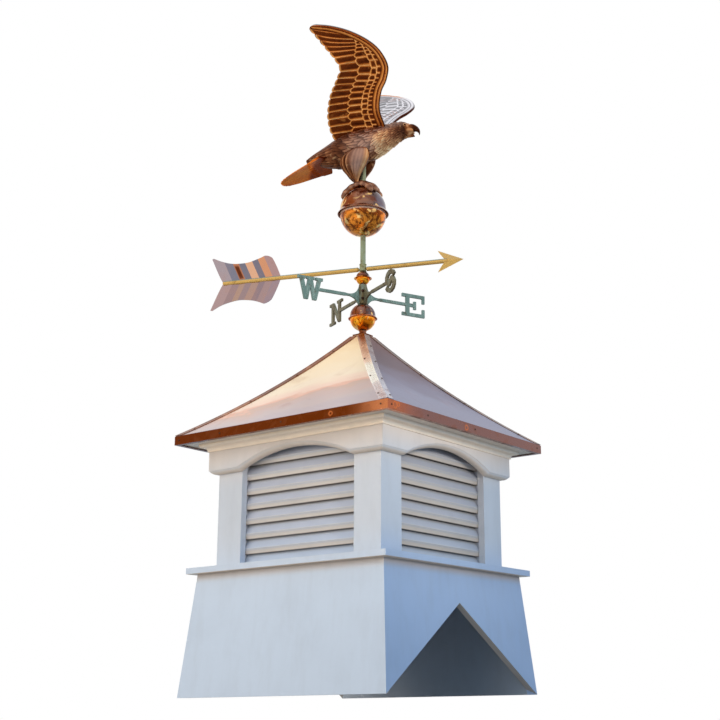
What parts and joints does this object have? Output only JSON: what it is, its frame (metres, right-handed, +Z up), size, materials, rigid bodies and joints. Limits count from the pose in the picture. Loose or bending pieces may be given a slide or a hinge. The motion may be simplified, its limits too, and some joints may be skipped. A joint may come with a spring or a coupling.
{
  "type": "barn cupola with weathervane",
  "caption": "Square white barn cupola with arched louvres on every side, a flared copper roof and an eagle weathervane that turns above a fixed compass.",
  "frame": {"origin": "centre of the base's bottom edges, at the height they rest on", "axes": "+Z up along the mast; -Y is the front; the house ridge that the saddle notches fit runs along X"},
  "size_m": [0.781, 0.7076, 1.8282],
  "materials": {
    "white_vinyl": "smooth white cellular vinyl board, low sheen, faint dirt along its edges",
    "roof_copper": "bright new copper sheet with soft reflections",
    "trim_copper": "browned copper with fingerprints and water rings",
    "ball_copper": "polished spun copper with darker patches",
    "eagle_copper": "embossed copper with dark brown patina in its hollows",
    "fletch_copper": "pinkish sheet copper with pressed bands",
    "tube_brass": "drawn brass with green and blue verdigris",
    "verdigris_brass": "cast brass, weathered green",
    "steel_rod": "plain steel rod",
    "deck_plywood": "exterior plywood, unpainted"
  },
  "bodies": {
    "cupola": {"base_back": "white_vinyl", "base_front": "white_vinyl", "base_left": "white_vinyl", "base_right": "white_vinyl", "compass_east_west": "verdigris_brass", "compass_north_south": "verdigris_brass", "crown": "white_vinyl", "fascia": "trim_copper", "frieze_back": "white_vinyl", "frieze_front": "white_vinyl", "frieze_left": "white_vinyl", "frieze_right": "white_vinyl", "hip_caps": "trim_copper", "ledge": "white_vinyl", "louvre_back": "white_vinyl", "louvre_front": "white_vinyl", "louvre_left": "white_vinyl", "louvre_right": "white_vinyl", "lower_ball_bowl": "ball_copper", "lower_ball_dome": "ball_copper", "mast": "steel_rod", "mast_block": "deck_plywood", "post_back_left": "white_vinyl", "post_back_right": "white_vinyl", "post_front_left": "white_vinyl", "post_front_right": "white_vinyl", "roof_cap": "trim_copper", "roof_deck": "deck_plywood", "roof_panel_back": "roof_copper", "roof_panel_front": "roof_copper", "roof_panel_left": "roof_copper", "roof_panel_right": "roof_copper", "small_ball": "ball_copper", "soffit": "white_vinyl"},
    "vane": {"vane_tube": "tube_brass", "arrow_shaft": "tube_brass", "arrow_head": "tube_brass", "fletching": "fletch_copper", "perch_ball_bowl": "ball_copper", "perch_ball_dome": "ball_copper", "eagle_body": "eagle_copper", "eagle_tail": "eagle_copper", "eagle_legs": "eagle_copper", "wing_left": "eagle_copper", "wing_right": "eagle_copper"}
  },
  "joints": [
    {"name": "vane_spin", "type": "hinge", "parent": "cupola", "child": "vane", "pos_m": [0, 0, 1.165], "axis": [0, 0, 1], "continuous": true}
  ]
}
